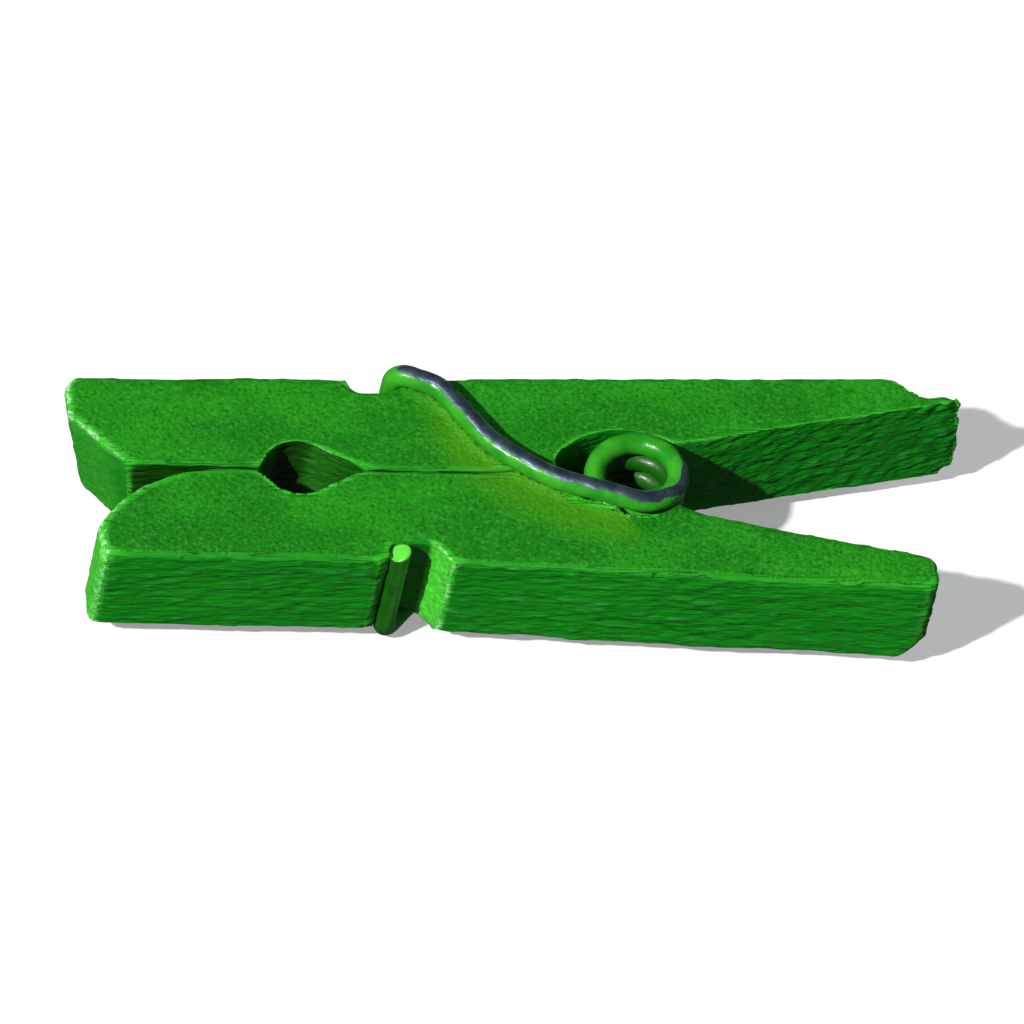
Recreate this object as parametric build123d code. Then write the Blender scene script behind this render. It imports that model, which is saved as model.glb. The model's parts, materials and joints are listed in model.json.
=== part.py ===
from build123d import *
import math
import os

# A small wooden spring clothespin lying on its side, in millimetres.
# +X runs from the jaws to the handles, +Y from the near lever to the far lever, and +Z along the coil.
# It is drawn with the coil's axis at X = 0, Y = 0 and the middle of the wood at Z = 0, then moved so
# that the origin is under the middle of the whole pin, on the surface that it lies on.
# In an outline, "out" is the distance from the parting plane, towards that lever's outer face.

# ---- wood ----
lever_width = 6.0          # along Z
edge_round = 0.4           # long edges
parting_gap = 0.10         # between the levers' flat inner faces
near_thickness = 5.65      # parting plane to outer face, from the jaws to the spring notch
far_thickness = 5.85
near_flare = 2.35          # degrees, how the outer face leans out behind the notch
far_flare = 1.8
handle_slope = 12.2        # degrees, how the inner face leans out behind the coil

near_tip_x = -27.2
near_heel_x = 14.5
near_nose_x = -20.5        # where the near jaw's nose curves away from the parting plane
near_nose_radius = 8.0
near_corner_round = 0.6
near_heel_round = 0.7

far_shift = -1.05          # the far lever sits this much nearer the jaw end than the near one
far_tip_x = -28.3
far_bevel_x = -25.5        # where the far jaw's bevelled tip starts
far_bevel_angle = 47.0     # degrees
far_tip_taper = 0.3        # the far jaw is this much thinner at its tip
far_corner_round = 1.0
far_heel_x = 16.7
far_break_x = 13.1         # the far handle's outer corner has broken away behind here
far_break_angle = 40.0     # degrees, slope of the broken face
far_tongue_root = 0.75     # wood left behind the break, where the tongue starts
far_tongue_end = 0.3

# ---- what the two levers share ----
coil_groove_radius = 4.3
coil_groove_offset = -0.5  # the groove's deepest line, along X from the coil's axis
coil_front_gap = 1.3       # coil to the groove's front wall
coil_groove_corner_round = 0.6
coil_clearance = 0.15      # coil to the deepest line of its groove

rope_x = -16.9
rope_radius = 1.65
near_rope_front = 50.0     # degrees, slope of the ramp on the jaw side
near_rope_back = 30.0
far_rope_front = 60.0
far_rope_back = 28.0

notch_front_x = -12.95     # the near lever's spring notch, its wall on the jaw side
notch_width = 3.1
near_notch_depth = 1.25
far_notch_depth = 0.8
notch_corner_round = 0.3
notch_edge_round = 0.4     # the floor's ends, where the wire bends over them

# ---- spring ----
wire_diameter = 1.1        # with its paint
coil_mean_radius = 2.05
whole_turns = 5            # before the part turn that the two arms add
wire_clearance = 0.05      # wire to the wood that it lies on
arm_slope = 17.0           # degrees off X, where each arm leaves the coil
lead_length = 0.7          # from the last coil to where the arm lies level
lead_radius = 5.0
far_sweep_x = -4.3         # the far arm starts to swing outwards here
far_sweep_slope = 34.0
far_climb_x = -7.1
far_climb_slope = 56.0
far_shoulder_drop = 0.87   # the climb ends this far short of the hook
near_climb_slope = 50.0    # the near arm climbs to its hook in one straight run
sweep_radius = 6.0
shoulder_radius = 1.4
far_hook_x = -11.7
near_hook_x = -12.26
hook_proud = 0.1           # how far each cut end stands out of its notch, past the wood's side

# ---- worked out ----
half_width = lever_width / 2
inner_face = parting_gap / 2
wire_radius = wire_diameter / 2
arm_height = half_width + wire_clearance + wire_radius
near_floor = near_thickness - near_notch_depth
far_floor = far_thickness - far_notch_depth
coil_outer_radius = coil_mean_radius + wire_radius
coil_groove_depth = coil_outer_radius + coil_clearance
coil_groove_front = coil_outer_radius + coil_front_gap
far_tip_thickness = far_thickness - far_tip_taper
bend_over_notch = notch_edge_round + wire_clearance + wire_radius
through = lever_width + 2.0


def tangent(degrees):
    return math.tan(math.radians(degrees))


def flared(thickness, notch_x, flare, x):
    """Distance out of an outer face behind its notch, flared from the notch's middle."""
    return thickness + (x - notch_middle(notch_x)) * tangent(flare)


def notch_middle(notch_x):
    return notch_x + notch_width / 2


def slope_face_at(x):
    """Distance out of the handle's inner face, which leaves the coil groove at its back rim."""
    rim_x = coil_mean_radius
    reach = rim_x - coil_groove_offset
    drop = coil_groove_radius - math.sqrt(coil_groove_radius**2 - reach**2)
    return coil_groove_depth - drop + (x - rim_x) * tangent(handle_slope)


def round_corner(face, corner, radius):
    """The face with its vertex nearest to that corner rounded."""
    return fillet(face.vertices().sort_by_distance(corner)[0], radius)


def rounded_stock(face, keep_sharp_behind):
    """The outline as wood of the lever's width, its long edges rounded."""
    stock = extrude(face, amount=half_width, both=True)
    long_edges = [
        edge
        for edge in stock.edges()
        if abs(abs(edge.center().Z) - half_width) < 0.001 and edge.bounding_box().max.X <= keep_sharp_behind
    ]
    return fillet(long_edges, edge_round)


def coil_groove():
    """Half the hole that the coil sits in: a shallow arc, square at the front."""
    arc_centre_y = coil_groove_depth - coil_groove_radius
    arc = Pos(coil_groove_offset, arc_centre_y) * Circle(coil_groove_radius)
    window_back = coil_groove_offset + coil_groove_radius
    window_length = coil_groove_front + window_back
    window = Pos(window_back - window_length / 2, 0) * Rectangle(window_length, 2 * coil_groove_depth)
    corner = (-coil_groove_front, coil_groove_depth)
    return round_corner(arc & window, corner, coil_groove_corner_round)


def rope_groove(front_angle, back_angle):
    """Half the line hole: an arc about the parting plane between two tangent ramps."""
    front_x = -rope_radius / math.sin(math.radians(front_angle))
    back_x = rope_radius / math.sin(math.radians(back_angle))
    ramps = Polygon(
        (front_x, 0),
        (-rope_radius * math.sin(math.radians(front_angle)), rope_radius * math.cos(math.radians(front_angle))),
        (rope_radius * math.sin(math.radians(back_angle)), rope_radius * math.cos(math.radians(back_angle))),
        (back_x, 0),
        align=None,
    )
    return Pos(rope_x, 0) * (Circle(rope_radius) + ramps)


def spring_notch(front_x, floor, depth):
    """The notch across the outer face, open outwards."""
    height = depth * 2
    face = Pos(front_x + notch_width / 2, floor + height / 2) * Rectangle(notch_width, height)
    for x in (front_x, front_x + notch_width):
        face = round_corner(face, (x, floor), notch_corner_round)
    return face


def cut_lever(stock, rope_face, notch_face, floor):
    """The stock with its three grooves, and the notch floor eased where the wire bends over it."""
    for face in (coil_groove(), rope_face, notch_face):
        stock -= extrude(face, amount=through / 2, both=True)
    floor_ends = [
        edge
        for edge in stock.edges().filter_by(Axis.X)
        if abs(edge.center().Y - floor) < 0.001 and abs(abs(edge.center().Z) - half_width) < 0.001
    ]
    return fillet(floor_ends, notch_edge_round)


def near_lever():
    """Lever with a round-nosed jaw, drawn out along +Y; it is turned over to its side of the pin last."""
    nose_reach = near_nose_x - near_tip_x
    nose_top = inner_face + near_nose_radius - math.sqrt(near_nose_radius**2 - nose_reach**2)
    heel_outer = flared(near_thickness, notch_front_x, near_flare, near_heel_x)
    outline = Polyline(
        (near_tip_x, nose_top),
        (near_tip_x, near_thickness),
        (notch_middle(notch_front_x), near_thickness),
        (near_heel_x, heel_outer),
        (near_heel_x, slope_face_at(near_heel_x)),
        (0, slope_face_at(0)),
        (0, inner_face),
        (near_nose_x, inner_face),
    )
    nose = RadiusArc((near_nose_x, inner_face), (near_tip_x, nose_top), near_nose_radius)
    face = make_face([*outline.edges(), *nose.edges()])
    face = round_corner(face, (near_tip_x, nose_top), near_corner_round)
    face = round_corner(face, (near_tip_x, near_thickness), near_corner_round)
    face = round_corner(face, (near_heel_x, heel_outer), near_heel_round)
    face = round_corner(face, (near_heel_x, slope_face_at(near_heel_x)), near_heel_round)
    stock = rounded_stock(face, near_heel_x)
    notch = spring_notch(notch_front_x, near_floor, near_notch_depth)
    return cut_lever(stock, rope_groove(near_rope_front, near_rope_back), notch, near_floor)


def far_lever():
    """Lever with a bevelled jaw and a handle whose outer corner has broken away."""
    notch_x = notch_front_x + far_shift
    bevel_top = inner_face + (far_bevel_x - far_tip_x) * tangent(far_bevel_angle)
    break_top = flared(far_thickness, notch_x, far_flare, far_break_x)
    break_depth = break_top - slope_face_at(far_break_x) - far_tongue_root
    tongue_x = far_break_x + break_depth / (tangent(far_break_angle) + tangent(handle_slope))
    heel_inner = slope_face_at(far_heel_x)
    outline = Polygon(
        (far_bevel_x, inner_face),
        (far_tip_x, bevel_top),
        (far_tip_x, far_tip_thickness),
        (notch_middle(notch_x), far_thickness),
        (far_break_x, break_top),
        (tongue_x, slope_face_at(tongue_x) + far_tongue_root),
        (far_heel_x, heel_inner + far_tongue_end),
        (far_heel_x, heel_inner),
        (0, slope_face_at(0)),
        (0, inner_face),
        align=None,
    )
    face = round_corner(outline, (far_tip_x, bevel_top), near_corner_round)
    face = round_corner(face, (far_tip_x, far_tip_thickness), far_corner_round)
    stock = rounded_stock(face, far_break_x)
    notch = spring_notch(notch_x, far_floor, far_notch_depth)
    return cut_lever(stock, rope_groove(far_rope_front, far_rope_back), notch, far_floor)


def arm_leads():
    """Where an upper arm leaves the coil, and where it first lies level."""
    leave = math.radians(180 - arm_slope)
    climb_angle = math.atan(coil_pitch() / (2 * math.pi * coil_mean_radius))
    start = Vector(-math.sin(leave), math.cos(leave)) * coil_mean_radius + Vector(0, 0, coil_end_height())
    heading = Vector(math.cos(leave), math.sin(leave), math.tan(climb_angle))
    return start, start + heading * lead_length


def hook_end(x, out):
    """The hook's corner over the notch and its cut end on the other side."""
    return (x, out, arm_height), (x, out, -(half_width + hook_proud))


def far_arm():
    """Centre line of the upper arm: it swings outwards, climbs, and turns over the notch at a shoulder."""
    start, level = arm_leads()
    out = far_floor + wire_clearance + wire_radius
    sweep_y = level.Y + (level.X - far_sweep_x) * tangent(arm_slope)
    climb_y = sweep_y + (far_sweep_x - far_climb_x) * tangent(far_sweep_slope)
    shoulder_y = out - far_shoulder_drop
    shoulder_x = far_climb_x - (shoulder_y - climb_y) / tangent(far_climb_slope)
    return FilletPolyline(
        start,
        level,
        (far_sweep_x, sweep_y, arm_height),
        (far_climb_x, climb_y, arm_height),
        (shoulder_x, shoulder_y, arm_height),
        *hook_end(far_hook_x, out),
        radius=[lead_radius, sweep_radius, sweep_radius, shoulder_radius, bend_over_notch],
    )


def near_arm():
    """Centre line of the lower arm, drawn as an upper one: one bend, then straight to its hook."""
    start, level = arm_leads()
    out = near_floor + wire_clearance + wire_radius
    rise = out - level.Y - (level.X - near_hook_x) * tangent(arm_slope)
    bend_x = near_hook_x + rise / (tangent(near_climb_slope) - tangent(arm_slope))
    bend_y = level.Y + (level.X - bend_x) * tangent(arm_slope)
    return FilletPolyline(
        start,
        level,
        (bend_x, bend_y, arm_height),
        *hook_end(near_hook_x, out),
        radius=[lead_radius, sweep_radius, bend_over_notch],
    )


def coil_turns():
    """Turns from one arm to the other; each arm leaves past the half turn by its slope."""
    return whole_turns + (180 + 2 * arm_slope) / 360


def coil_pitch():
    """Rise for each turn: the coil and the two leads fill the height between the arms."""
    turns_with_leads = coil_turns() + 2 * lead_length / (2 * math.pi * coil_mean_radius)
    return 2 * arm_height / turns_with_leads


def coil_end_height():
    return coil_pitch() * coil_turns() / 2


def torsion_spring():
    """One piece of wire: a hook, an arm over one lever, the coil, and the same turned over."""
    pitch = coil_pitch()
    height = pitch * coil_turns()
    coil = Helix(pitch=pitch, height=height, radius=coil_mean_radius, lefthand=True)
    coil = Pos(0, 0, -height / 2) * Rot(0, 0, 90 + arm_slope) * coil
    lower_arm = Rot(180, 0, 0) * near_arm()
    path = Wire([*lower_arm.edges(), *coil.edges(), *far_arm().edges()])
    section = Plane(origin=path @ 0, z_dir=path % 0) * Circle(wire_radius)
    return sweep(section, path=path)


os.makedirs("parts", exist_ok=True)
pin = {
    "near_lever": Rot(180, 0, 0) * near_lever(),
    "far_lever": far_lever(),
    "torsion_spring": torsion_spring(),
}
box = Compound(list(pin.values())).bounding_box()
middle_x = (box.min.X + box.max.X) / 2
middle_y = (box.min.Y + box.max.Y) / 2
for name, piece in pin.items():
    placed = Pos(-middle_x, -middle_y, -box.min.Z) * piece
    export_step(placed, f"parts/{name}.step")
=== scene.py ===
import bmesh
import bpy
import itertools
import json
import math
import numpy as np
from mathutils import Matrix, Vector
from mathutils.kdtree import KDTree


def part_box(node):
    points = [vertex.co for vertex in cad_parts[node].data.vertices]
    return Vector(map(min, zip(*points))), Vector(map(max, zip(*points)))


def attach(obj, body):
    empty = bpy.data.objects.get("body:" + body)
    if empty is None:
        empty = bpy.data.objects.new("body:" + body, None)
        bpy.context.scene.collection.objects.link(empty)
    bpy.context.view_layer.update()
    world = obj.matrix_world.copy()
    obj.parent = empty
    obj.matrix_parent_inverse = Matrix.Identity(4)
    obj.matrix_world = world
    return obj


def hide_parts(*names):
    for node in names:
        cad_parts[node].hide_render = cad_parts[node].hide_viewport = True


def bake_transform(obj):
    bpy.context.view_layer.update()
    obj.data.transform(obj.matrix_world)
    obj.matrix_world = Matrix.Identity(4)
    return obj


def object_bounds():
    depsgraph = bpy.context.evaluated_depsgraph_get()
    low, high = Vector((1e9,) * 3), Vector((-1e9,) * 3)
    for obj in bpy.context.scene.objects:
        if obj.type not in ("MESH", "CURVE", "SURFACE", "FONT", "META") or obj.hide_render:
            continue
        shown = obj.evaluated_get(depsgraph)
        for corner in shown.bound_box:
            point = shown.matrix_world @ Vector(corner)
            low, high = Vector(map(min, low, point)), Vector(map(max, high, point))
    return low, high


# A small wooden clothespin, painted green all over, with its wire spring painted along with it.
# Shapes are worked out in millimetres from the coil's centre, with X along the wood's grain,
# and put into the frame, which is in metres, at the end.

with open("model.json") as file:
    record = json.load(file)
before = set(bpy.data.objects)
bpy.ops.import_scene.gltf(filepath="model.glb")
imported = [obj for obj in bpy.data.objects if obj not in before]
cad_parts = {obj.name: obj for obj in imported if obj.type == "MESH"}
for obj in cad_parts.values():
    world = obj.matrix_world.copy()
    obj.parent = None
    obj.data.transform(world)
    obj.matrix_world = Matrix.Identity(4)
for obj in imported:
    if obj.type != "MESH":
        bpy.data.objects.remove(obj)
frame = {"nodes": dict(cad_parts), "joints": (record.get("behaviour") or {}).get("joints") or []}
cad_box = [list(corner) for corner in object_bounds()]

MM = 0.001
JOINT = frame["joints"][0]
HINGE = np.array(JOINT["pos_m"])
WOOD_LOW, WOOD_HIGH = (corner.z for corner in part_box("near_lever"))
HALF_WIDTH = (WOOD_HIGH - WOOD_LOW) / 2 / MM

# ---- the spring's centre line, as in the CAD model, in millimetres ----
WIRE_RADIUS = 0.55
WIRE_CLEARANCE = 0.05
COIL_RADIUS = 2.05
COIL_TURNS = 5.0
ARM_SLOPE = 17.0
LEAD_LENGTH = 0.7
LEAD_RADIUS = 5.0
SWEEP_RADIUS = 6.0
SHOULDER_RADIUS = 1.4
HOOK_RADIUS = 0.85
HOOK_PROUD = 0.1
FAR_HOOK = (-11.7, 5.65)       # X, and distance out from the coil's axis
NEAR_HOOK = (-12.26, 5.0)
FAR_SWEEP = (-4.3, 34.0)       # X where the arm turns, and its slope from there on
FAR_CLIMB = (-7.1, 56.0)
FAR_SHOULDER_DROP = 0.87
NEAR_CLIMB_SLOPE = 50.0
COIL_POINTS = 1200
ARC_STEP = 0.1                 # between points along an arc
RING_STEP = 0.11               # between rings of points along the wire
RING_POINTS = 40

# ---- paint and bare metal on the spring, in millimetres and degrees round the coil ----
PAINT_THINNING = 0.98          # the painted wire's mean radius, as a share of WIRE_RADIUS
PAINT_LUMPS = 0.015            # slow changes of that radius, as a share of it
PAINT_SKIN = 0.012             # height of the fine lumps in the paint
END_DOME = 0.2                 # the wire narrows over this length to its cut ends
NEAR_END_SLANT = 0.25          # how far the near hook's cut end slants
STRIPE_ON_ARM = np.array([0.06, -0.02, 1.0])      # the way the bare stripe faces on the arm
STRIPE_ON_COIL = np.array([0.80, 0.10, 0.60])     # and where it has crossed to the coil's side
STRIPE_EDGE = 0.79             # cosine of half the angle that the stripe takes up round the wire
STRIPE_CROSSES = (-100, -10)   # where on the coil it goes from one to the other
STRIPE_FADES = (20, 70)        # where on the coil it narrows away
STRIPE_ENDS = 75
STRIPE_TURNS = 0.62            # it is only on this much of the coil's top turn
STRIPE_HOOK_FADES = (2.6, 1.4)  # heights between which it narrows away down the far hook


# ---------------------------------------------------------------- small helpers
def tangent(degrees):
    return math.tan(math.radians(degrees))


def ramp(value, none, full):
    """0 at one value and 1 at another, which may be the lower one, and smooth between them."""
    share = np.clip((value - none) / (full - none), 0, 1)
    return share * share * (3 - 2 * share)


def unit(vectors):
    return vectors / np.linalg.norm(vectors, axis=-1, keepdims=True)


def noise(points, seed):
    """Smooth random values from -1 to 1, which change over one unit of length."""
    rng = np.random.default_rng(seed)
    order = rng.permutation(256)
    values = rng.uniform(-1, 1, 256)
    cell = np.floor(points).astype(int)
    part = points - cell
    part = part * part * (3 - 2 * part)
    total = np.zeros(len(points))
    for corner in itertools.product((0, 1), repeat=3):
        place = (cell + corner) & 255
        chosen = order[(order[(order[place[:, 0]] + place[:, 1]) & 255] + place[:, 2]) & 255]
        share = np.prod(np.where(corner, part, 1 - part), axis=1)
        total += values[chosen] * share
    return total


def layered(points, seed, layers=2):
    """Noise with finer noise on top of it."""
    total = np.zeros(len(points))
    for layer in range(layers):
        total += noise(points * 2.1**layer, seed + layer) / 2**layer
    return total


def grain(points, seed, size, layers=2):
    """Layered noise with lumps of the given size along X, Y and Z, in millimetres."""
    return layered(points / np.array(size), seed, layers)


# ---------------------------------------------------------------- meshes
def read_points(mesh):
    points = np.zeros(len(mesh.vertices) * 3)
    mesh.vertices.foreach_get("co", points)
    return points.reshape(-1, 3)


def read_normals(mesh):
    normals = np.zeros(len(mesh.vertices) * 3)
    mesh.vertices.foreach_get("normal", normals)
    return normals.reshape(-1, 3)


def write_points(mesh, points):
    mesh.vertices.foreach_set("co", points.astype(np.float32).ravel())
    mesh.update()


def read_edges(mesh):
    edges = np.zeros(len(mesh.edges) * 2, dtype=np.int32)
    mesh.edges.foreach_get("vertices", edges)
    return edges.reshape(-1, 2)


def write_mask(mesh, name, values):
    mask = mesh.attributes.new(name, "FLOAT", "POINT")
    mask.data.foreach_set("value", values.astype(np.float32))


def averaged(values, edges, rounds):
    """Each point's values drawn half way to the mean of its neighbours', several times over."""
    count = len(values)
    ends = np.concatenate([edges[:, 0], edges[:, 1]])
    others = np.concatenate([edges[:, 1], edges[:, 0]])
    neighbours = np.maximum(np.bincount(ends, minlength=count), 1)
    for _ in range(rounds):
        columns = [np.bincount(ends, values[others, axis], count) for axis in range(values.shape[1])]
        values = (values + np.stack(columns, axis=1) / neighbours[:, None]) / 2
    return values


def new_object(name, mesh):
    piece = bpy.data.objects.new(name, mesh)
    bpy.context.scene.collection.objects.link(piece)
    return piece


def shade_smooth(mesh):
    mesh.polygons.foreach_set("use_smooth", [True] * len(mesh.polygons))


# ---------------------------------------------------------------- spring
def rounded_path(corners, radii):
    """Points along straight runs joined by arcs, one radius for each corner between the ends."""
    corners = [np.array(corner, float) for corner in corners]
    points = [corners[0]]
    for before, corner, after, radius in zip(corners, corners[1:], corners[2:], radii):
        inward, outward = unit(corner - before), unit(after - corner)
        turn = math.acos(float(inward @ outward))
        across = unit(outward - (outward @ inward) * inward)
        start = corner - inward * radius * math.tan(turn / 2)
        for angle in np.linspace(0, turn, 3 + int(radius * turn / ARC_STEP)):
            points.append(start + radius * (math.sin(angle) * inward + (1 - math.cos(angle)) * across))
    return np.array([*points, corners[-1]])


def coil_sizes():
    """Turns, pitch and end height of the coil: it and its two leads fill the height between the arms."""
    turns = COIL_TURNS + (180 + 2 * ARM_SLOPE) / 360
    arm_height = HALF_WIDTH + WIRE_CLEARANCE + WIRE_RADIUS
    pitch = 2 * arm_height / (turns + 2 * LEAD_LENGTH / (2 * math.pi * COIL_RADIUS))
    return turns, pitch, pitch * turns / 2, arm_height


def arm(bends, hook, radii):
    """An upper arm from the coil over its bends to its hook and down to its cut end."""
    _, pitch, end_height, height = coil_sizes()
    leave = math.radians(180 - ARM_SLOPE)
    start = np.array([-math.sin(leave) * COIL_RADIUS, math.cos(leave) * COIL_RADIUS, end_height])
    climb = pitch / (2 * math.pi * COIL_RADIUS)
    level = start + unit(np.array([math.cos(leave), math.sin(leave), climb])) * LEAD_LENGTH
    level[2] = height
    flat = [(x, y, height) for x, y in [*bends(level), hook]]
    cut_end = (*hook, -(HALF_WIDTH + HOOK_PROUD))
    return rounded_path([start, level, *flat, cut_end], [LEAD_RADIUS, *radii, HOOK_RADIUS])


def far_bends(level):
    sweep_y = level[1] + (level[0] - FAR_SWEEP[0]) * tangent(ARM_SLOPE)
    climb_y = sweep_y + (FAR_SWEEP[0] - FAR_CLIMB[0]) * tangent(FAR_SWEEP[1])
    shoulder_y = FAR_HOOK[1] - FAR_SHOULDER_DROP
    shoulder_x = FAR_CLIMB[0] - (shoulder_y - climb_y) / tangent(FAR_CLIMB[1])
    return [(FAR_SWEEP[0], sweep_y), (FAR_CLIMB[0], climb_y), (shoulder_x, shoulder_y)]


def near_bends(level):
    rise = NEAR_HOOK[1] - level[1] - (level[0] - NEAR_HOOK[0]) * tangent(ARM_SLOPE)
    bend_x = NEAR_HOOK[0] + rise / (tangent(NEAR_CLIMB_SLOPE) - tangent(ARM_SLOPE))
    return [(bend_x, level[1] + (level[0] - bend_x) * tangent(ARM_SLOPE))]


def even_steps(points, step):
    """The same line with its points evenly spaced, and the length along it."""
    reach = np.concatenate([[0], np.cumsum(np.linalg.norm(np.diff(points, axis=0), axis=1))])
    along = np.linspace(0, reach[-1], int(reach[-1] / step))
    return np.stack([np.interp(along, reach, points[:, axis]) for axis in range(3)], axis=1), along


def spring_line():
    """Centre line of the whole wire, from the near hook's cut end to the far hook's."""
    turns, pitch, end_height, _ = coil_sizes()
    angles = math.radians(90 + ARM_SLOPE) - np.linspace(0, turns * 2 * math.pi, COIL_POINTS)
    heights = np.linspace(-end_height, end_height, len(angles))
    coil = np.stack([COIL_RADIUS * np.cos(angles), COIL_RADIUS * np.sin(angles), heights], axis=1)
    upper = arm(far_bends, FAR_HOOK, [SWEEP_RADIUS, SWEEP_RADIUS, SHOULDER_RADIUS])
    lower = arm(near_bends, NEAR_HOOK, [SWEEP_RADIUS]) * (1, -1, -1)
    return np.concatenate([lower[::-1], coil[1:-1], upper])


def carried_frames(line):
    """Two directions across the line at each point, carried along it without twisting."""
    along = unit(np.gradient(line, axis=0))
    first = np.zeros_like(line)
    first[0] = unit(np.cross(along[0], (0.0, 1.0, 0.3)))
    for index in range(1, len(line)):
        carried = first[index - 1] - (first[index - 1] @ along[index]) * along[index]
        first[index] = unit(carried)
    return first, np.cross(along, first)


def tube(line, radius_at):
    """Points, faces and outward directions of a round tube with closed ends."""
    first, second = carried_frames(line)
    angles = np.linspace(0, 2 * math.pi, RING_POINTS, endpoint=False)[None, :, None]
    outward = np.cos(angles) * first[:, None] + np.sin(angles) * second[:, None]
    rings = line[:, None] + outward * radius_at[:, None, None]
    faces = []
    for ring in range(len(line) - 1):
        low, high = ring * RING_POINTS, (ring + 1) * RING_POINTS
        for index in range(RING_POINTS):
            after = (index + 1) % RING_POINTS
            faces.append((low + index, low + after, high + after, high + index))
    last_ring = (len(line) - 1) * RING_POINTS
    faces.append(tuple(range(RING_POINTS))[::-1])
    faces.append(tuple(last_ring + index for index in range(RING_POINTS)))
    return rings.reshape(-1, 3), faces, outward.reshape(-1, 3)


def on_coil(places, margin):
    """Which places along the wire's centre line are in the coil, within a margin of its radius."""
    return np.hypot(places[:, 0], places[:, 1]) < COIL_RADIUS + margin


def bare_metal(line, outward):
    """How far each point of the wire lies inside the stripe where the paint has rubbed off."""
    _, pitch, end_height, _ = coil_sizes()
    coiled = on_coil(line, 0.05)
    turn = np.degrees(np.arctan2(line[:, 1], line[:, 0]))
    crossed = np.where(coiled, ramp(turn, *STRIPE_CROSSES), 0)[:, None]
    middle = unit((1 - crossed) * STRIPE_ON_ARM + crossed * STRIPE_ON_COIL)
    rings = outward.reshape(len(line), RING_POINTS, 3)
    inside = np.einsum("nj,naj->na", middle, rings) - STRIPE_EDGE
    top_turn = (line[:, 2] > end_height - pitch * STRIPE_TURNS) & (turn < STRIPE_ENDS)
    striped = (line[:, 2] > 0) & (~coiled | top_turn)
    inside = np.where(striped[:, None], inside, -1.0)
    fade = np.where(coiled, ramp(turn, *STRIPE_FADES), 0) + ramp(line[:, 2], *STRIPE_HOOK_FADES)
    return (inside - fade[:, None]).ravel()


def shaded_wire(line, outward):
    """Painted shade inside the coil below its top turn, and on the near hook's outer side."""
    _, pitch, end_height, _ = coil_sizes()
    place = np.repeat(line, RING_POINTS, axis=0)
    away = unit(place[:, :2])
    inwards = ramp(np.einsum("ij,ij->i", outward[:, :2], away), 0.2, -0.4)
    below_top = ramp(end_height - place[:, 2], 0.6 * pitch, 1.1 * pitch)
    in_coil = on_coil(place, 0.1) * inwards * below_top
    on_hook = (place[:, 1] < 0) * ramp(place[:, 0], NEAR_HOOK[0] + 0.36, NEAR_HOOK[0] + 0.16)
    on_hook = on_hook * ramp(place[:, 2], HALF_WIDTH - 0.1, HALF_WIDTH - 0.4)
    return np.maximum(in_coil, on_hook * ramp(outward[:, 0], 0.6, -0.3))


def make_spring():
    """The painted spring as one tube, and its centre line."""
    line, along = even_steps(spring_line(), RING_STEP)
    neighbours = np.stack([np.arange(len(line) - 1), np.arange(1, len(line))], axis=1)
    line = averaged(line, neighbours, rounds=2)
    lumps = grain(np.stack([along, along * 0, along * 0], axis=1), seed=71, size=(1.6, 1, 1), layers=3)
    to_end = np.minimum(np.minimum(along, along[-1] - along) / END_DOME, 1)
    dome = np.sqrt(1 - 0.45 * (1 - to_end) ** 2)
    points, faces, outward = tube(line, WIRE_RADIUS * (PAINT_THINNING + PAINT_LUMPS * lumps) * dome)
    slant = np.repeat(ramp(along, 0.6, 0.0), RING_POINTS) * NEAR_END_SLANT
    points[:, 2] -= slant * (1 - outward[:, 0])
    points += outward * (PAINT_SKIN * grain(points, seed=81, size=(0.35, 0.35, 0.35)))[:, None]
    mesh = bpy.data.meshes.new("painted_spring")
    mesh.from_pydata((points * MM + HINGE).tolist(), [], faces)
    shade_smooth(mesh)
    write_mask(mesh, "bare", bare_metal(line, outward))
    write_mask(mesh, "wire_shade", shaded_wire(line, outward))
    # the near hook's cut end, which gets a painted highlight
    write_mask(mesh, "cut", np.repeat(ramp(along, 0.25, 0.05), RING_POINTS))
    return new_object("painted_spring", mesh), line


# ---------------------------------------------------------------- levers
CELL = 0.083                   # millimetres across the grain
CELL_STRETCH = 2.0             # a cell is this much longer along the grain
CELL_SHAPE = (CELL_STRETCH, 1, 1)
SMOOTHING_ROUNDS = 2           # these take the cells' steps out of the surface
ROUNDNESS_ROUNDS = 24          # these round it off, to find its edges and corners

# ---- the paint that fills a notch's corners, in millimetres ----
WEDGE_CLIMB = 0.88             # share of the notch's depth that it climbs
WEDGE_HOLLOW = 1.6             # above 1, its slope is hollow
WEDGE_SUNK = 0.15              # how far it reaches into the wood
WEDGE_SHORT = 0.02             # how far it stops short of the lever's top and underside

# ---- heights and depths of the painted surface, in millimetres ----
RIDGE_HEIGHT = 0.044
FINE_RIDGE_HEIGHT = 0.034
BROAD_RIDGE_HEIGHT = 0.02
SPLIT_DEPTH = 0.035
CUT_LEAN = 12.0                # degrees between the torn ridges and the grain
CUT_HEIGHT = 0.060
CUT_SPLIT_DEPTH = 0.04
STIPPLE_HEIGHT = 0.014
PORE_DEPTH = 0.03
PITTED_HEIGHT = 0.045
EDGE_STEP = 0.05               # of the slivers along the outer edges
WANDER = 0.045                 # slow bends of the whole surface
PAINT_SUNK = 0.06              # the surface lies this far inside the CAD shape before the rest
SEAM_SHARPENED = 0.10          # how far the edges beside the seam stand out
SEAM_STARTS = (-3.0, -4.0)     # X of the seam's end by the coil
HANDLE_STARTS = (1.5, 4.0)     # X where a handle's inner slope begins
FILLET_REACH = 0.34            # the paint is drawn at most this far towards the wire
FILLET_CLEARANCE = 0.012       # and stops this far from it
FILLET_GAPS = (0.50, 0.05)     # gaps to the wire at which it isn't drawn, and is drawn most
FILM_AND_SHADE_GAPS = (0.60, 0.12)       # the same for the dark thin paint and painted contact shadow beside the wire
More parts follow.
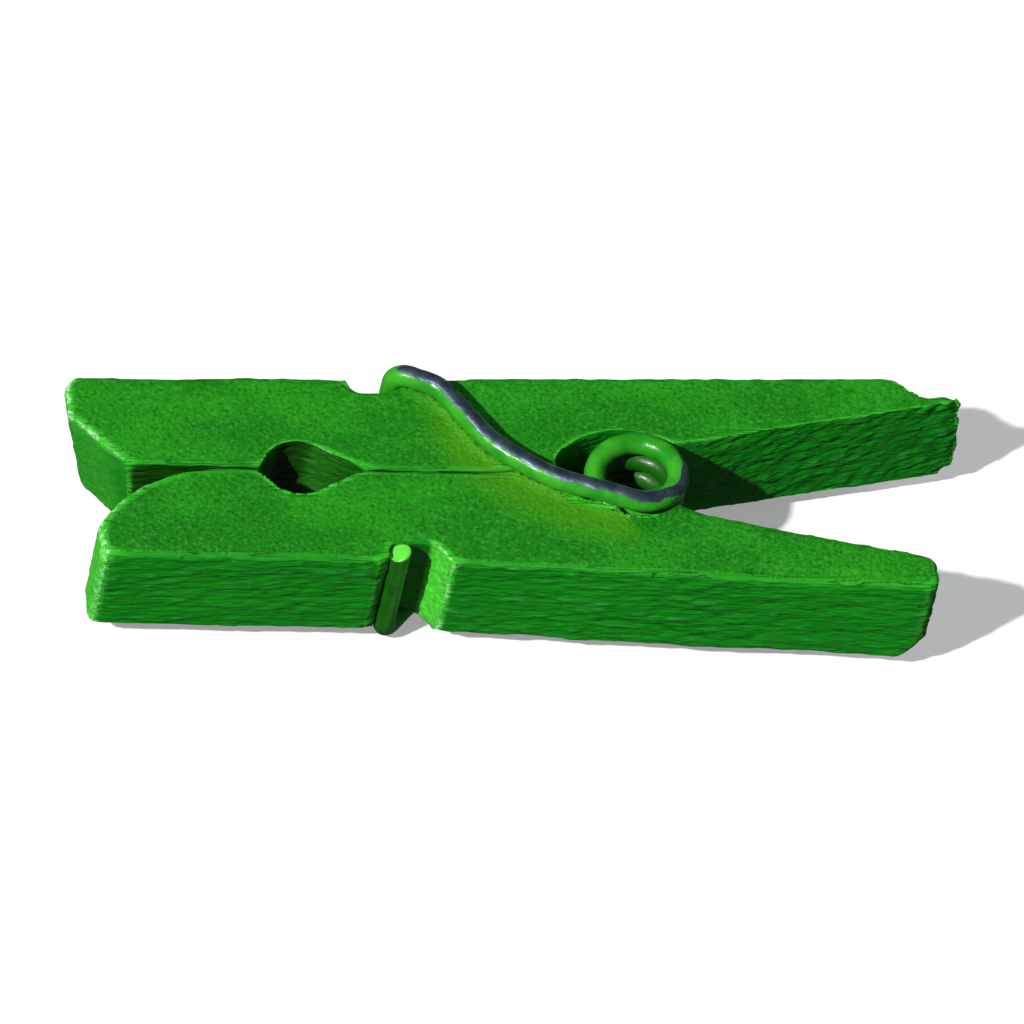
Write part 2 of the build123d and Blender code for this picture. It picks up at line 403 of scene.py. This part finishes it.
GLOW_GAPS = (2.8, 0.3)         # and for the yellower paint round that

# ---- where the levers end, in millimetres from the coil, and what is worn or torn there ----
FAR_TIP, FAR_END = ((corner.x - HINGE[0]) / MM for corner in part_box("far_lever"))
NEAR_END = (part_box("near_lever")[1].x - HINGE[0]) / MM
TIP_LENGTH = 7.3               # of the part of the far jaw that leans back
TIP_LEAN = 0.25                # it leans by this much for each millimetre down
TORN_DEPTH = 0.16              # of the far handle's end
FRAYED_HEIGHT = 0.13           # of the top beside it
FAR_DRAWN_OUT = 0.30           # the far handle is this much longer than its CAD shape
FOOT_REACH = 0.45              # and its underside stands out this much further
FOOT_ROUNDED = 0.55            # but less, by this much, at its lowest edge
SPLINTER_PLACE = (5.0, -5.74)  # X and Y of a point on the crack along the near handle's outer top edge
SPLINTER_SLOPE = 0.025         # Y that the crack moves out for each millimetre along X
SPLINTER_WANDER = 0.06
SPLINTER_DEPTH = 0.38
SPLINTER_WIDTH = 0.11
SPLINTER_STEP = 0.12           # the wood outside the crack lies this much lower
LIP_RADIUS = COIL_RADIUS + WIRE_RADIUS + 0.08     # of the paint's inner edge round the coil
LIP_BAND = (4.2, 3.0)          # distances from the coil's axis between which the wood starts to be drawn
LIP_DRAWN = 0.88               # share of its way to that radius that the wood's edge is drawn
LIP_RAISED = 0.22              # how far that edge is raised
NEAR_DRAWN_OUT = 0.22          # the near handle is this much longer than its CAD shape
NEAR_ROUNDED = 0.75            # but shorter by this much at its outer lower corner
NOTCH_FLOOR_SHADE = 0.65       # how much shade is painted on a notch's floor, as a share


def add_wedge(shape, wall_x, floor_y, face_y, reach):
    """Fills the corner between a notch's floor and its wall with a hollow slope as long as the notch."""
    rise = (face_y - floor_y) * WEDGE_CLIMB
    slope = [
        (wall_x + reach * (1 - share), floor_y + rise * share**WEDGE_HOLLOW)
        for share in np.linspace(0, 1, 9)
    ]
    behind_wall = wall_x - math.copysign(WEDGE_SUNK, reach)
    under_floor = floor_y - math.copysign(WEDGE_SUNK, rise)
    corners = [(behind_wall, floor_y + rise), (behind_wall, under_floor), (wall_x + reach, under_floor)]
    outline = slope + corners
    half_length = HALF_WIDTH - WEDGE_SHORT
    ends = [
        [shape.verts.new((x / CELL_STRETCH, y, z)) for x, y in outline]
        for z in (-half_length, half_length)
    ]
    for index, low in enumerate(ends[0]):
        after = (index + 1) % len(outline)
        shape.faces.new((low, ends[0][after], ends[1][after], ends[1][index]))
    shape.faces.new(ends[0][::-1])
    shape.faces.new(ends[1])


def fine_copy(node, name, wedges):
    """A new mesh of the node's own shape in small even cells, in millimetres from the coil's centre."""
    coarse = frame["nodes"][node].data.copy()
    write_points(coarse, (read_points(coarse) - HINGE) / MM / CELL_SHAPE)
    shape = bmesh.new()
    shape.from_mesh(coarse)
    bmesh.ops.remove_doubles(shape, verts=shape.verts, dist=1e-5)
    for wedge in wedges:
        add_wedge(shape, *wedge)
    bmesh.ops.recalc_face_normals(shape, faces=shape.faces)
    shape.to_mesh(coarse)
    shape.free()
    source = new_object("coarse_" + name, coarse)
    cells = source.modifiers.new("cells", "REMESH")
    cells.mode = "VOXEL"
    cells.voxel_size = CELL
    graph = bpy.context.evaluated_depsgraph_get()
    fine = bpy.data.meshes.new_from_object(source.evaluated_get(graph))
    bpy.data.objects.remove(source)
    fine.name = name
    fine.materials.clear()
    write_points(fine, averaged(read_points(fine), read_edges(fine), SMOOTHING_ROUNDS) * CELL_SHAPE)
    return fine


def roundness(mesh):
    """Above 0 on outer edges and below 0 in inner corners, in millimetres."""
    points, normals = read_points(mesh), read_normals(mesh)
    soft = averaged(points / CELL_SHAPE, read_edges(mesh), ROUNDNESS_ROUNDS) * CELL_SHAPE
    return np.einsum("ij,ij->i", points - soft, normals)


def nearest_wire(points, line):
    """For each point, the way and the gap to the nearest hook or arm of the wire, and the wire's Z there."""
    arms = line[~on_coil(line, 0.1)]
    tree = KDTree(len(arms))
    for index, place in enumerate(arms):
        tree.insert(place, index)
    tree.balance()
    chosen = np.array([tree.find(point)[1] for point in points])
    way = arms[chosen] - points
    return unit(way), np.linalg.norm(way, axis=1) - WIRE_RADIUS, arms[chosen, 2]


def facing(normals, inner):
    """Shares from 0 to 1: how far each point faces out or in, endways, and towards the other lever."""
    sideways = ramp(np.abs(normals[:, 1]), 0.45, 0.85)
    endways = ramp(np.abs(normals[:, 0]), 0.5, 0.7)
    inwards = ramp(normals[:, 1] * inner, 0.35, 0.8)
    return sideways, endways, inwards


def sawn_ridges(points, seed):
    """Fine ridges and splits along the grain of a planed face."""
    ridges = RIDGE_HEIGHT * grain(points, seed, size=(0.95, 1.5, 0.24))
    fine = FINE_RIDGE_HEIGHT * grain(points, seed + 5, size=(0.6, 1, 0.17), layers=1)
    broad = BROAD_RIDGE_HEIGHT * grain(points, seed + 7, size=(3.0, 1.5, 0.6), layers=1)
    splits = SPLIT_DEPTH * ramp(grain(points, seed + 9, size=(0.8, 1.5, 0.18)), 0.3, 0.9)
    return ridges + fine + broad - splits


def rough_cut(points, seed):
    """Coarse torn ridges across a handle's inner slope, at an angle to the grain."""
    lean = math.radians(CUT_LEAN)
    turned = points @ np.array([
        [math.cos(lean), 0, -math.sin(lean)],
        [0, 1, 0],
        [math.sin(lean), 0, math.cos(lean)],
    ])
    torn = CUT_HEIGHT * grain(turned, seed, size=(0.6, 0.8, 0.27), layers=3)
    splits = CUT_SPLIT_DEPTH * ramp(grain(turned, seed + 4, size=(0.5, 0.8, 0.24)), 0.3, 0.9)
    return torn - splits


def wood_relief(points, normals, inner, seed):
    """Height of the painted surface over the plain shape, in millimetres."""
    sideways, endways, inwards = facing(normals, inner)
    level = np.clip(1 - sideways - endways, 0, 1)
    sideways = sideways * (1 - endways)
    handle_slope = sideways * inwards * ramp(points[:, 0], *HANDLE_STARTS)
    stipple = STIPPLE_HEIGHT * grain(points, seed + 13, size=(0.42, 0.26, 0.4), layers=3)
    pores = PORE_DEPTH * ramp(grain(points, seed + 17, size=(0.7, 0.2, 0.5), layers=1), 0.5, 0.9)
    pitted = PITTED_HEIGHT * grain(points, seed + 29, size=(0.3, 0.3, 0.3), layers=3)
    return (
        (sideways - handle_slope) * sawn_ridges(points, seed)
        + handle_slope * rough_cut(points, seed + 21)
        + level * (stipple - pores)
        + endways * pitted
    )


def edge_steps(points, rim, seed):
    """Long shallow steps along the outer edges, where slivers of wood have lifted under the paint."""
    outer = ramp(rim, 0.02, 0.08)
    return -EDGE_STEP * outer * ramp(grain(points, seed, size=(2.2, 1.2, 0.35)), -0.2, 0.5)


def paint_fillet(points, normals, line):
    """Points near the wire drawn towards it, as paint gathers there, and shares for the dark thin paint with
    a painted contact shadow close to it, and for the yellower paint round that.
    """
    way, gap, wire_height = nearest_wire(points, line)
    reach = FILLET_REACH * ramp(gap, *FILLET_GAPS)
    reach = np.minimum(reach, np.maximum(gap - FILLET_CLEARANCE, 0))
    jaw_side = ramp(way[:, 0] + way[:, 1], 0.1, 0.5) * ramp(normals[:, 2], 0.3, 0.8)
    jaw_side *= wire_height > HALF_WIDTH
    # dark thin paint and a painted contact shadow close to the wire
    film = ramp(gap, *FILM_AND_SHADE_GAPS) * jaw_side
    glow = ramp(gap, *GLOW_GAPS) * jaw_side * ramp(points[:, 0], -11.5, -8.5)
    return points + way * reach[:, None], film, glow


def sharper_seam(points, normals, inner):
    """The edges where the two levers meet stand out more, so that the seam is a thin line."""
    corner = ramp(2 * normals[:, 1] * inner * normals[:, 2], 0.1, 0.9) * ramp(points[:, 0], *SEAM_STARTS)
    return points + (SEAM_SHARPENED * corner)[:, None] * (0, inner, 0.7)


def notch_floor(points, wedges):
    """Which points are on the floor of the lever's wire notch, where shade is painted in as darker paint."""
    x, y, z = points.T
    jaw_wall, handle_wall = sorted(wedge[0] for wedge in wedges)
    floor_y = wedges[0][1]
    between = ramp(x, jaw_wall - 0.1, jaw_wall + 0.1) * ramp(x, handle_wall - 0.2, handle_wall - 0.9)
    at_floor = NOTCH_FLOOR_SHADE * between * ramp(np.abs(y - floor_y), 0.5, 0.2)
    return at_floor * ramp(z, HALF_WIDTH - 0.3, HALF_WIDTH - 0.7)


def colour_masks(points, normals, rim, inner, wedges, lighter_facing_left):
    """Where light and shade are painted into the wood's colour by the way it faces, and where the inside of
    the jaws is olive.
    """
    outside = ramp(points[:, 1] * inner, -0.3, -1.5)
    jaw_inside = ramp(normals[:, 1] * inner, 0.72, 0.95) * ramp(points[:, 0], *SEAM_STARTS)
    return {
        "sideways": facing(normals, inner)[0],
        # olive paint on the faces inside the jaws, and painted shade on the notch's floor
        "inside": np.maximum(jaw_inside, notch_floor(points, wedges)),
        # lighter paint on outer faces that point towards -X, where the key light comes from
        "lighter_facing_left": ramp(normals[:, 0], -0.3, -0.65) * outside * lighter_facing_left,
        # white painted glints on outer edges that point towards -X
        "edge_glints": ramp(rim, 0.02, 0.07) * ramp(normals[:, 0], -0.15, -0.45) * outside,
    }


def make_lever(node, name, inner, seed, line, shape_more, wedges, lighter_facing_left):
    """A painted lever; inner is the side along Y that faces the other lever."""
    mesh = fine_copy(node, name, wedges)
    points, normals = read_points(mesh), read_normals(mesh)
    rim = roundness(mesh)
    relief = wood_relief(points, normals, inner, seed) + edge_steps(points, rim, seed + 41)
    wander = WANDER * grain(points, seed + 25, size=(4.5, 2.2, 2.2))
    moved = points + normals * (relief + wander - PAINT_SUNK)[:, None]
    moved = shape_more(sharper_seam(moved, normals, inner), normals)
    moved, film, glow = paint_fillet(moved, normals, line)
    write_points(mesh, moved * MM + HINGE)
    shade_smooth(mesh)
    masks = colour_masks(points, normals, rim, inner, wedges, lighter_facing_left)
    masks.update(relief=relief, rim=rim, film=film, glow=glow)
    for mask, values in masks.items():
        write_mask(mesh, mask, values)
    return new_object(name, mesh)


def far_ends(points, normals):
    """The far jaw's tip leans back towards its underside, and the handle's end is torn, with a round foot."""
    x, _, z = points.T
    lean = ramp(x, FAR_TIP + TIP_LENGTH, FAR_TIP) * (HALF_WIDTH - z) * TIP_LEAN
    torn = ramp(x, FAR_END - 0.8, FAR_END - 0.2) * TORN_DEPTH
    torn = torn * grain(points, seed=301, size=(0.5, 0.5, 0.45), layers=3)
    frayed = ramp(x, FAR_END - 3.1, FAR_END - 2.1) * ramp(z, HALF_WIDTH - 1.4, HALF_WIDTH - 0.4)
    frayed = frayed * FRAYED_HEIGHT * grain(points, seed=307, size=(0.4, 0.4, 0.3), layers=3)
    moved = points + normals * (frayed - np.abs(torn))[:, None]
    drawn_out = FAR_DRAWN_OUT * ramp(x, FAR_END - 8.7, FAR_END - 3.7)
    foot = ramp(x, FAR_END - 3.2, FAR_END - 0.2) * ramp(z, HALF_WIDTH, -HALF_WIDTH / 2) * FOOT_REACH
    rounded = ramp(x, FAR_END - 2.2, FAR_END) * ramp(z, 1 - HALF_WIDTH, -HALF_WIDTH) * FOOT_ROUNDED
    return moved + (lean + drawn_out + foot - rounded)[:, None] * (1, 0, 0)


def splinter(points):
    """Depth of the crack along the near handle's outer top edge, and of the step outside it."""
    x, y, z = points.T
    along = ramp(x, NEAR_END - 10.1, NEAR_END - 8.9) * ramp(x, NEAR_END - 3.0, NEAR_END - 6.0)
    along = along * ramp(z, HALF_WIDTH - 0.8, HALF_WIDTH - 0.2)
    across = SPLINTER_PLACE[1] - y - SPLINTER_SLOPE * (x - SPLINTER_PLACE[0])
    across = across + SPLINTER_WANDER * grain(points, seed=311, size=(0.7, 0.7, 0.7))
    crack = SPLINTER_DEPTH * np.exp(-((across / SPLINTER_WIDTH) ** 2))
    return along * (crack + SPLINTER_STEP * ramp(across, 0.0, 0.1))


def paint_lip(points):
    """Shares by which the near lever's top edge is drawn in to the coil's axis, and how far it is raised."""
    x, y, z = points.T
    from_coil = np.hypot(x, y)
    side = ramp(y, -0.7, -1.7)
    drawn = LIP_DRAWN * side * ramp(from_coil, *LIP_BAND) * ramp(z, HALF_WIDTH - 1.0, HALF_WIDTH - 0.3)
    drawn = np.maximum(drawn * (from_coil - LIP_RADIUS), 0) / from_coil
    raised = LIP_RAISED * side * ramp(from_coil, 3.6, 3.0) * ramp(z, HALF_WIDTH - 1.1, HALF_WIDTH - 0.5)
    return drawn, raised * (z < HALF_WIDTH - 0.05)


def near_ends(points, normals):
    """A splinter on the near handle, a round lower corner at its end and a lip of paint round the coil."""
    x, y, z = points.T
    drawn, raised = paint_lip(points)
    moved = points - splinter(points)[:, None] * (0, 0, 1)
    moved[:, :2] -= moved[:, :2] * drawn[:, None]
    moved[:, 2] += raised
    rounded = ramp(z, -1.2, -HALF_WIDTH) * ramp(y, -3.5, -6.0) * NEAR_ROUNDED
    longer = ramp(x, NEAR_END - 3.0, NEAR_END - 0.2) * (NEAR_DRAWN_OUT - rounded)
    return moved + longer[:, None] * (1, 0, 0)


# ---------------------------------------------------------------- materials
def linear(code):
    """A colour written as six hex digits, as linear values with full opacity."""
    parts = [int(code[place:place + 2], 16) / 255 for place in (0, 2, 4)]
    return [part / 12.92 if part <= 0.04045 else ((part + 0.055) / 1.055) ** 2.4 for part in parts] + [1.0]


class Shader:
    """A node material that is built up from small steps."""

    def __init__(self, name):
        self.material = bpy.data.materials.new(name)
        self.material.use_nodes = True
        self.tree = self.material.node_tree
        self.surface = self.tree.nodes["Principled BSDF"]
        self.place = self.node("ShaderNodeTexCoord").outputs["Object"]

    def node(self, kind, **settings):
        made = self.tree.nodes.new(kind)
        for key, value in settings.items():
            setattr(made, key, value)
        return made

    def put(self, socket, value):
        if isinstance(value, bpy.types.NodeSocket):
            self.tree.links.new(value, socket)
        else:
            socket.default_value = value

    def mask(self, name):
        return self.node("ShaderNodeAttribute", attribute_name=name).outputs["Fac"]

    def noise(self, size, detail=3.0, stretch=(1, 1, 1)):
        """Noise from 0 to 1 whose lumps are about this size in millimetres, times the stretch."""
        mapping = self.node("ShaderNodeMapping")
        self.put(mapping.inputs["Vector"], self.place)
        self.put(mapping.inputs["Scale"], [1 / (size * MM * share) for share in stretch])
        texture = self.node("ShaderNodeTexNoise")
        self.put(texture.inputs["Vector"], mapping.outputs["Vector"])
        self.put(texture.inputs["Scale"], 1.0)
        self.put(texture.inputs["Detail"], detail)
        return texture.outputs["Fac"]

    def span(self, value, low, high, out_low=0.0, out_high=1.0):
        """A value that goes smoothly from out_low to out_high while another goes from low to high."""
        made = self.node("ShaderNodeMapRange", interpolation_type="SMOOTHSTEP")
        for socket, entry in zip(("Value", "From Min", "From Max", "To Min", "To Max"),
                                 (value, low, high, out_low, out_high)):
            self.put(made.inputs[socket], entry)
        return made.outputs["Result"]

    def math(self, operation, first, second):
        """One operation of Blender's math node on two values."""
        made = self.node("ShaderNodeMath", operation=operation)
        self.put(made.inputs[0], first)
        self.put(made.inputs[1], second)
        return made.outputs[0]

    def mix(self, share, first, second):
        """Colours mixed by a share from 0 to 1."""
        made = self.node("ShaderNodeMix", data_type="RGBA")
        self.put(made.inputs["Factor"], share)
        sockets = [socket for socket in made.inputs if socket.type == "RGBA"]
        for socket, colour in zip(sockets, (first, second)):
            self.put(socket, colour)
        return next(socket for socket in made.outputs if socket.type == "RGBA")

    def tint(self, colour, share, code):
        """The colour mixed, by a share from 0 to 1, with a colour written as six hex digits."""
        return self.mix(share, colour, linear(code))

    def part(self, value, amount):
        """A value, or the mask of that name, times an amount."""
        return self.math("MULTIPLY", self.mask(value) if isinstance(value, str) else value, amount)

    def bump(self, height, distance_mm, strength=1.0):
        made = self.node("ShaderNodeBump")
        self.put(made.inputs["Height"], height)
        self.put(made.inputs["Distance"], distance_mm * MM)
        self.put(made.inputs["Strength"], strength)
        self.put(self.surface.inputs["Normal"], made.outputs["Normal"])

    def finish(self, values):
        """The material, once its surface's sockets have these values."""
        for socket, value in values.items():
            self.put(self.surface.inputs[socket], value)
        return self.material


def mottled_coat(paint, patches, pebbles, level):
    """Green that changes slowly, with small light and dark spots everywhere but on the sides: a painted
    highlight on the pebble bumps' tops and painted shade in their hollows.
    """
    colour = paint.mix(paint.span(patches, 0.35, 0.7), linear("167a0e"), linear("219014"))
    # painted highlight on the tops of the pebble bumps
    colour = paint.tint(colour, paint.part(paint.span(pebbles, 0.52, 0.70, 0.0, 0.45), level), "48a83c")
    # painted shade in the hollows between the pebble bumps
    return paint.tint(colour, paint.part(paint.span(pebbles, 0.46, 0.32, 0.0, 0.6), level), "0a5007")


def shaded_by_place(paint, colour):
    """Painted light and shade over the coat: a deeper green on the sides for how they are lit, a painted
    highlight on the ridges' crests, yellower paint beside the wire, olive paint inside the jaws, and painted
    shade on the notches' floors and in every hollow and inner corner.
    """
    relief, rim = paint.mask("relief"), paint.mask("rim")
    # painted highlight on the crests of the side ridges
    crest_highlights = paint.part("sideways", paint.span(relief, 0.015, 0.07, 0.0, 0.45))
    # painted light: sideways faces get a deeper green, for how the sides are lit
    colour = paint.tint(colour, paint.part("sideways", 0.6), "068f18")
    colour = paint.tint(colour, crest_highlights, "3fa84c")
    colour = paint.tint(colour, paint.part("glow", 0.5), "56a40e")
    # olive paint inside the jaws, and painted shade on the notches' floors
    colour = paint.tint(colour, paint.part("inside", 0.95), "134502")
    # painted shade in the hollows, splits and pores of the surface
    colour = paint.tint(colour, paint.span(relief, -0.02, -0.10, 0.0, 0.7), "023406")
    # painted shade in the inner corners
    return paint.tint(colour, paint.span(rim, -0.02, -0.10, 0.0, 0.75), "1c4503")


def edge_cracks(paint):
    """Thin lines along the edges, where the paint has split: the middle values of stretched noise."""
    from_middle = paint.math("SUBTRACT", paint.noise(0.3, 1.0, (16, 1, 1)), 0.5)
    line = paint.span(paint.math("ABSOLUTE", from_middle, 0.0), 0.02, 0.005)
    return paint.part(line, paint.span(paint.mask("rim"), 0.012, 0.03))


def highlights_and_cracks(paint, colour, edge, cracks):
    """A painted highlight along the edges, with dark cracks in the paint, lighter paint on faces that point
    towards -X, where the key light comes from, and white painted glints on the edges that point that way.
    """
    # painted highlight along the rounded edges
    colour = paint.tint(colour, paint.part(edge, 0.75), "38bc2c")
    colour = paint.tint(colour, paint.part(cracks, 0.5), "0a5208")
    # lighter paint on faces that point towards -X, where the key light comes from
    facing_left_tint = paint.part("lighter_facing_left", paint.span(paint.noise(0.25, 4.0), 0.35, 0.65, 0.6, 0.9))
    colour = paint.tint(colour, facing_left_tint, "52d83c")
    # white painted glints on the edges that point towards -X
    glint_flecks = paint.part("edge_glints", paint.span(paint.noise(0.3, 4.0), 0.46, 0.58))
    return paint.tint(colour, paint.part(glint_flecks, 0.85), "c4f2c4")


def film_at_wire(paint, colour):
    """Dark paint with a ragged edge close to the wire: partly thin paint, partly a painted contact shadow
    under the wire.
    """
    ragged = paint.span(paint.noise(0.3, 4.0), 0.3, 0.7, -0.3, 0.2)
    film = paint.span(paint.math("ADD", paint.mask("film"), ragged), 0.7, 1.05, 0.0, 0.8)
    return paint.tint(colour, film, "123a03")


def painted_wood():
    """Green paint with pebbles on the top and streaks along the sides, cracks on the edges, and painted light
    and shade: highlights on the edges and on faces towards the key light, and shade in hollows.
    """
    paint = Shader("painted_wood")
    patches = paint.noise(2.6, 4.0, (2, 1, 1))
    pebbles = paint.noise(0.17, 3.0, (1.2, 1, 1))
    streaks = paint.noise(0.11, 2.5, (8, 1, 1))
    level = paint.math("SUBTRACT", 1.0, paint.mask("sideways"))
    # the rounded edges, which get a painted highlight and no pebble bumps
    edge = paint.span(paint.mask("rim"), 0.015, 0.05)
    cracks = edge_cracks(paint)
    colour = shaded_by_place(paint, mottled_coat(paint, patches, pebbles, level))
    colour = film_at_wire(paint, highlights_and_cracks(paint, colour, edge, cracks))
    pebbled = paint.math("MAXIMUM", paint.math("SUBTRACT", level, edge), 0.0)
    grains = paint.math("ADD", paint.part("sideways", streaks), paint.part(pebbles, pebbled))
    paint.bump(paint.math("SUBTRACT", grains, cracks), distance_mm=0.08)
    return paint.finish({
        "Base Color": colour,
        "Roughness": paint.span(patches, 0.3, 0.8, 0.55, 0.45),
        "Specular IOR Level": 0.2,
        "Coat Weight": 0.12,
        "Coat Roughness": 0.2,
    })


def painted_wire():
    """Green paint, with painted shade inside the coil and on the near hook, a painted highlight on the near
    hook's cut end, and a ragged stripe of bare steel.
    """
    paint = Shader("painted_wire")
    ragged = paint.part(paint.math("SUBTRACT", paint.noise(0.9, 6.0), 0.5), 0.5)
    bare = paint.span(paint.math("ADD", paint.mask("bare"), ragged), -0.015, 0.025)
    green = paint.mix(paint.span(paint.noise(1.4, 3.0), 0.35, 0.7), linear("1f8a16"), linear("3aa526"))
    # painted shade inside the coil and on the near hook
    green = paint.tint(green, paint.part("wire_shade", 0.85), "0b4a04")
    # painted highlight on the near hook's cut end, which faces the key light
    green = paint.tint(green, paint.mask("cut"), "62d844")
    steel = paint.mix(paint.span(paint.noise(0.8, 3.0), 0.35, 0.65), linear("5c6f8c"), linear("8496ad"))
    rough = paint.span(bare, 0, 1, 0.30, 0.40)
    paint.bump(paint.math("SUBTRACT", paint.noise(0.25, 4.0), bare), distance_mm=0.03, strength=0.6)
    return paint.finish({
        "Base Color": paint.mix(bare, green, steel),
        "Metallic": paint.part(bare, 0.95),
        "Roughness": paint.math("ADD", rough, paint.part("wire_shade", 0.1)),
        "Specular IOR Level": 0.35,
        "Coat Weight": 0.08,
        "Coat Roughness": 0.15,
    })


def pale_floor_material():
    """A pale table, a little brighter than its lamps make it, so that shadows on it stay soft."""
    floor = Shader("pale_floor")
    return floor.finish({
        "Base Color": floor.mix(floor.noise(40.0, 2.0), linear("e4e4e2"), linear("e9e9e7")),
        "Roughness": 0.85,
        "Emission Color": (1, 1, 1, 1),
        "Emission Strength": 0.30,
    })


# ---------------------------------------------------------------- stage
CAMERA_AZIMUTH = -16.3         # degrees, as the two below are
CAMERA_ELEVATION = 51.0
CAMERA_ROLL = 14.0
CAMERA_DISTANCE = 0.9          # metres, as the sizes below are
VIEW_WIDTH = 0.05064           # across the picture, at the pin
VIEW_DROP = 0.00014            # the picture's middle is this far under the pin's
FLOOR_REACH = 3.0
ROOM_COLOUR = (0.95, 0.98, 1.0, 1)
ROOM_STRENGTH = 0.08


def view_directions():
    """The camera's right, up and back directions."""
    azimuth, elevation, roll = (math.radians(x) for x in (CAMERA_AZIMUTH, CAMERA_ELEVATION, CAMERA_ROLL))
    back = np.array([
        math.sin(azimuth) * math.cos(elevation),
        -math.cos(azimuth) * math.cos(elevation),
        math.sin(elevation),
    ])
    level_right = np.array([math.cos(azimuth), math.sin(azimuth), 0.0])
    level_up = np.cross(back, level_right)
    right = level_right * math.cos(roll) + level_up * math.sin(roll)
    return right, np.cross(back, right), back


def placed_matrix(right, up, back, place):
    return Matrix([[right[i], up[i], back[i], place[i]] for i in range(3)] + [[0, 0, 0, 1]])


def make_camera():
    right, up, back = view_directions()
    middle = (np.array(cad_box[0]) + np.array(cad_box[1])) / 2 - up * VIEW_DROP
    data = bpy.data.cameras.new("camera")
    data.lens = data.sensor_width * CAMERA_DISTANCE / VIEW_WIDTH
    data.clip_start = 0.01
    camera = new_object("camera", data)
    place = middle + back * CAMERA_DISTANCE
    camera.matrix_world = placed_matrix(right, up, back, place)
    bpy.context.scene.camera = camera


def make_sun(name, direction, strength, softness, colour):
    """A distant light that comes from the given direction; its softness is in degrees."""
    data = bpy.data.lights.new(name, "SUN")
    data.energy = strength
    data.angle = math.radians(softness)
    data.color = colour
    light = new_object(name, data)
    back = unit(np.array(direction, float))
    right = unit(np.cross((0, 0, 1.0), back))
    up = np.cross(back, right)
    light.matrix_world = placed_matrix(right, up, back, back)
    return light


def make_floor():
    """A floor that the camera sees, but that throws no light or reflection back on the pin."""
    mesh = bpy.data.meshes.new("floor")
    corners = [(x * FLOOR_REACH, y * FLOOR_REACH, 0) for x, y in ((-1, -1), (1, -1), (1, 1), (-1, 1))]
    mesh.from_pydata(corners, [], [(0, 1, 2, 3)])
    mesh.materials.append(pale_floor_material())
    floor = new_object("floor", mesh)
    floor.visible_diffuse = False
    floor.visible_glossy = False


def make_lights():
    """A dim room, a hard light from the upper left, a weak one from the front and a soft one behind."""
    world = bpy.data.worlds.new("soft_room")
    world.use_nodes = True
    background = world.node_tree.nodes["Background"]
    background.inputs["Color"].default_value = ROOM_COLOUR
    background.inputs["Strength"].default_value = ROOM_STRENGTH
    bpy.context.scene.world = world
    make_sun("key", (-1.0, -0.6, 1.1), strength=4.2, softness=2.0, colour=(1.0, 0.99, 0.96))
    make_sun("fill", (-0.1, -0.95, 0.2), strength=0.25, softness=60.0, colour=(0.85, 1.0, 1.0))
    back = make_sun("back", (0.25, 0.75, 0.6), strength=0.6, softness=20.0, colour=(0.95, 1.0, 1.0))
    back.visible_glossy = False


# ---------------------------------------------------------------- the pin
# For each corner of a lever's notch, in millimetres: X of the wall, Y of the floor, Y of the outer face,
# and how far the paint's slope reaches from the wall along the floor.
NEAR_WEDGES = [(-9.85, -4.40, -5.65, -1.0), (-12.95, -4.40, -5.65, 0.25)]
FAR_WEDGES = [(-10.90, 5.05, 5.85, -0.5), (-14.00, 5.05, 5.85, 0.35)]

bpy.context.scene.view_settings.view_transform = "Standard"
make_camera()
make_floor()
make_lights()
spring, wire_line = make_spring()
near = make_lever(
    "near_lever", "painted_near_lever", inner=1, seed=11, line=wire_line,
    shape_more=near_ends, wedges=NEAR_WEDGES, lighter_facing_left=1.0,
)
far = make_lever(
    "far_lever", "painted_far_lever", inner=-1, seed=151, line=wire_line,
    shape_more=far_ends, wedges=FAR_WEDGES, lighter_facing_left=0.28,
)

wood = painted_wood()
for piece, node in ((near, "near_lever"), (far, "far_lever")):
    piece.data.materials.append(wood)
    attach(piece, node)
    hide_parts(node)

spring.data.materials.append(painted_wire())
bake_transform(spring)
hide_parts("torsion_spring")
